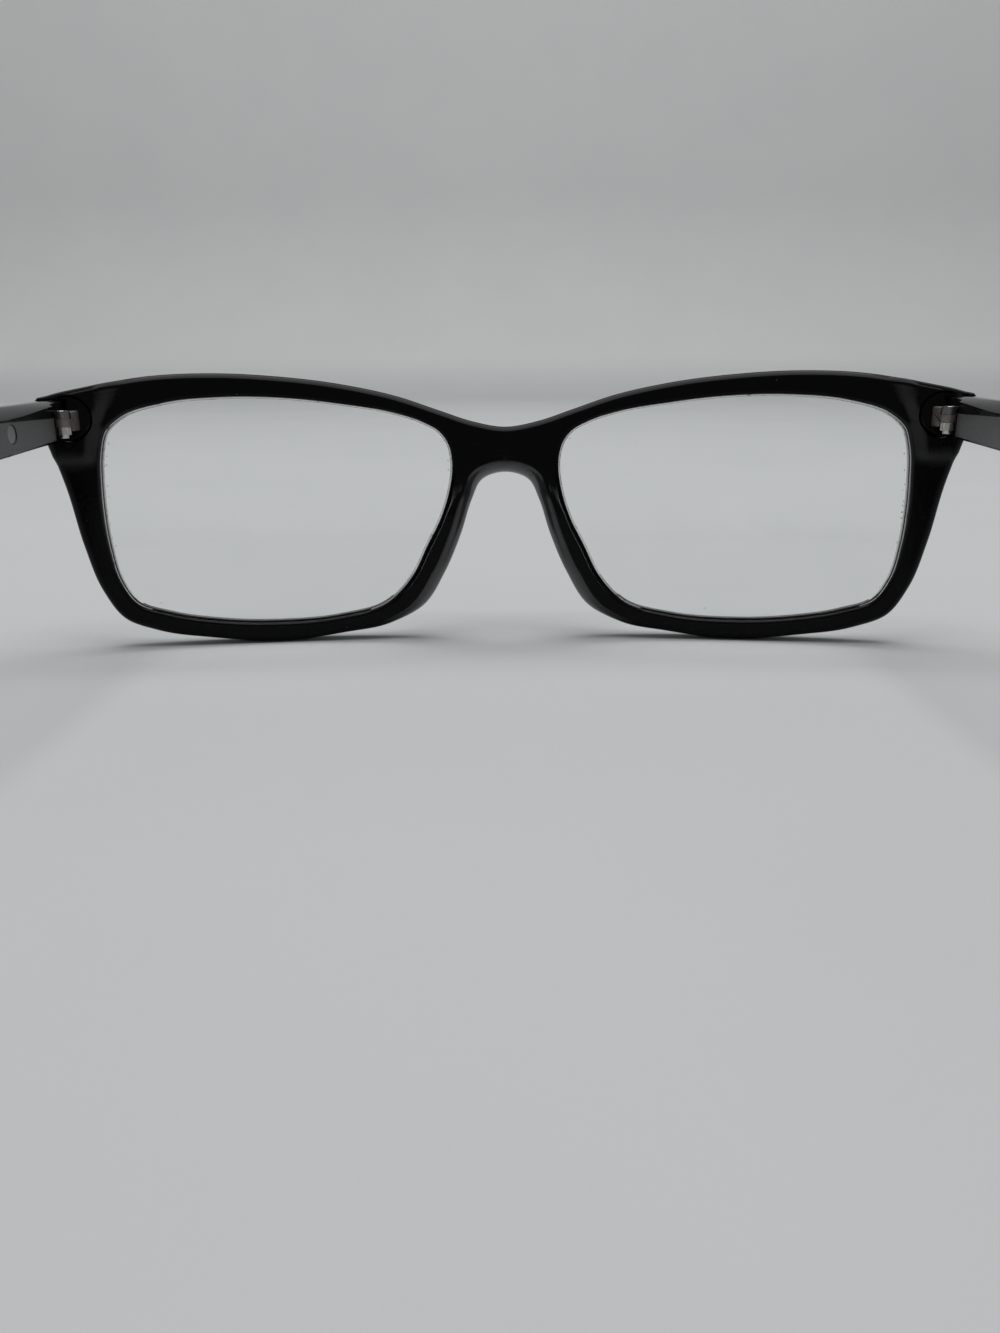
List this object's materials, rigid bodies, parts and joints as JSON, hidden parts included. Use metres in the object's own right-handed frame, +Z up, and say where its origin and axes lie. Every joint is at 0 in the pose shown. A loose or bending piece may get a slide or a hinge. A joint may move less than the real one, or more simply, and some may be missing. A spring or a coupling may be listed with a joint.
{
  "type": "cat eye eyeglasses",
  "caption": "Full-rim cat eye eyeglasses: a glossy moulded front with its own nose pads, clear lenses in grooves and temples that fold in on barrel hinges.",
  "frame": {"origin": "on the table under the middle of the bounding box of the open eyeglasses, on the plane of symmetry", "axes": "+Z up, the lenses face -Y, the temples run back along +Y, +X is the wearer's left"},
  "size_m": [0.1352, 0.1434, 0.0403],
  "materials": {
    "frame_black": "polished",
    "temple_black": "polished",
    "lens_clear": "polished",
    "hinge_nickel": "satin",
    "screw_steel": "polished"
  },
  "bodies": {
    "front": {"front_frame": "frame_black", "left_lens": "lens_clear", "right_lens": "lens_clear", "left_front_hinge": "hinge_nickel", "right_front_hinge": "hinge_nickel"},
    "left_arm": {"left_temple": "temple_black", "left_temple_hinge": "hinge_nickel", "left_hinge_screw": "screw_steel"},
    "right_arm": {"right_temple": "temple_black", "right_temple_hinge": "hinge_nickel", "right_hinge_screw": "screw_steel"}
  },
  "joints": [
    {"name": "left_temple_fold", "type": "hinge", "parent": "front", "child": "left_arm", "pos_m": [0.06175, -0.05795, 0.03378], "axis": [0, 0, 1], "range_deg": [0, 91]},
    {"name": "right_temple_fold", "type": "hinge", "parent": "front", "child": "right_arm", "pos_m": [-0.06175, -0.05795, 0.03378], "axis": [0, 0, -1], "range_deg": [0, 86]}
  ]
}
